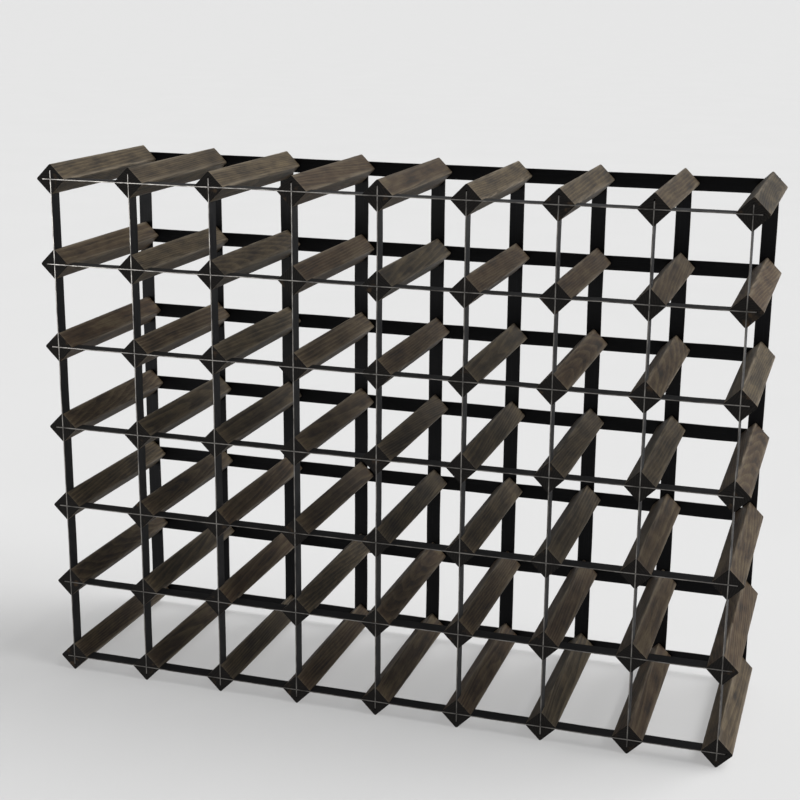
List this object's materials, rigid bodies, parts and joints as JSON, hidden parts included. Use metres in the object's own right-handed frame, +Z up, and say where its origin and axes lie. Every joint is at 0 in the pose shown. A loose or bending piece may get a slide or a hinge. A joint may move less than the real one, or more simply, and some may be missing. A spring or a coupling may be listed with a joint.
{
  "type": "wine rack",
  "caption": "Free-standing wine rack: dark stained square timber bars set on the diamond, held by a grid of black steel strips that makes square cells for bottles.",
  "frame": {"origin": "under the middle of the rack, at the height of the flats along the bottom bars' lowest arrises", "axes": "+X across to the right as seen from the front, +Y from front to back, +Z up"},
  "size_m": [0.8018, 0.2314, 0.6098],
  "materials": {
    "bar_timber": "dark brown-black stained softwood, matt, with the grain showing",
    "front_strip_steel": "black coated steel strip with bare sheared edges",
    "rear_strip_steel": "black coated steel strip, flat",
    "nail_steel": "bright wire nail, dulled"
  },
  "bodies": {
    "root": {"bars_row_1_left": "bar_timber", "bars_row_1_middle": "bar_timber", "bars_row_1_right": "bar_timber", "bars_row_2_left": "bar_timber", "bars_row_2_middle": "bar_timber", "bars_row_2_right": "bar_timber", "bars_row_3_left": "bar_timber", "bars_row_3_middle": "bar_timber", "bars_row_3_right": "bar_timber", "bars_row_4_left": "bar_timber", "bars_row_4_middle": "bar_timber", "bars_row_4_right": "bar_timber", "bars_row_5_left": "bar_timber", "bars_row_5_middle": "bar_timber", "bars_row_5_right": "bar_timber", "bars_row_6_left": "bar_timber", "bars_row_6_middle": "bar_timber", "bars_row_6_right": "bar_timber", "bars_row_7_left": "bar_timber", "bars_row_7_middle": "bar_timber", "bars_row_7_right": "bar_timber", "front_horizontal_strip_1": "front_strip_steel", "front_horizontal_strip_2": "front_strip_steel", "front_horizontal_strip_3": "front_strip_steel", "front_horizontal_strip_4": "front_strip_steel", "front_horizontal_strip_5": "front_strip_steel", "front_horizontal_strip_6": "front_strip_steel", "front_horizontal_strip_7": "front_strip_steel", "front_upright_strip_1": "front_strip_steel", "front_upright_strip_2": "front_strip_steel", "front_upright_strip_3": "front_strip_steel", "front_upright_strip_4": "front_strip_steel", "front_upright_strip_5": "front_strip_steel", "front_upright_strip_6": "front_strip_steel", "front_upright_strip_7": "front_strip_steel", "front_upright_strip_8": "front_strip_steel", "front_upright_strip_9": "front_strip_steel", "rear_horizontal_strip_1": "rear_strip_steel", "rear_horizontal_strip_2": "rear_strip_steel", "rear_horizontal_strip_3": "rear_strip_steel", "rear_horizontal_strip_4": "rear_strip_steel", "rear_horizontal_strip_5": "rear_strip_steel", "rear_horizontal_strip_6": "rear_strip_steel", "rear_horizontal_strip_7": "rear_strip_steel", "rear_nails": "nail_steel", "rear_upright_strip_1": "rear_strip_steel", "rear_upright_strip_2": "rear_strip_steel", "rear_upright_strip_3": "rear_strip_steel", "rear_upright_strip_4": "rear_strip_steel", "rear_upright_strip_5": "rear_strip_steel", "rear_upright_strip_6": "rear_strip_steel", "rear_upright_strip_7": "rear_strip_steel", "rear_upright_strip_8": "rear_strip_steel", "rear_upright_strip_9": "rear_strip_steel"}
  },
  "joints": []
}
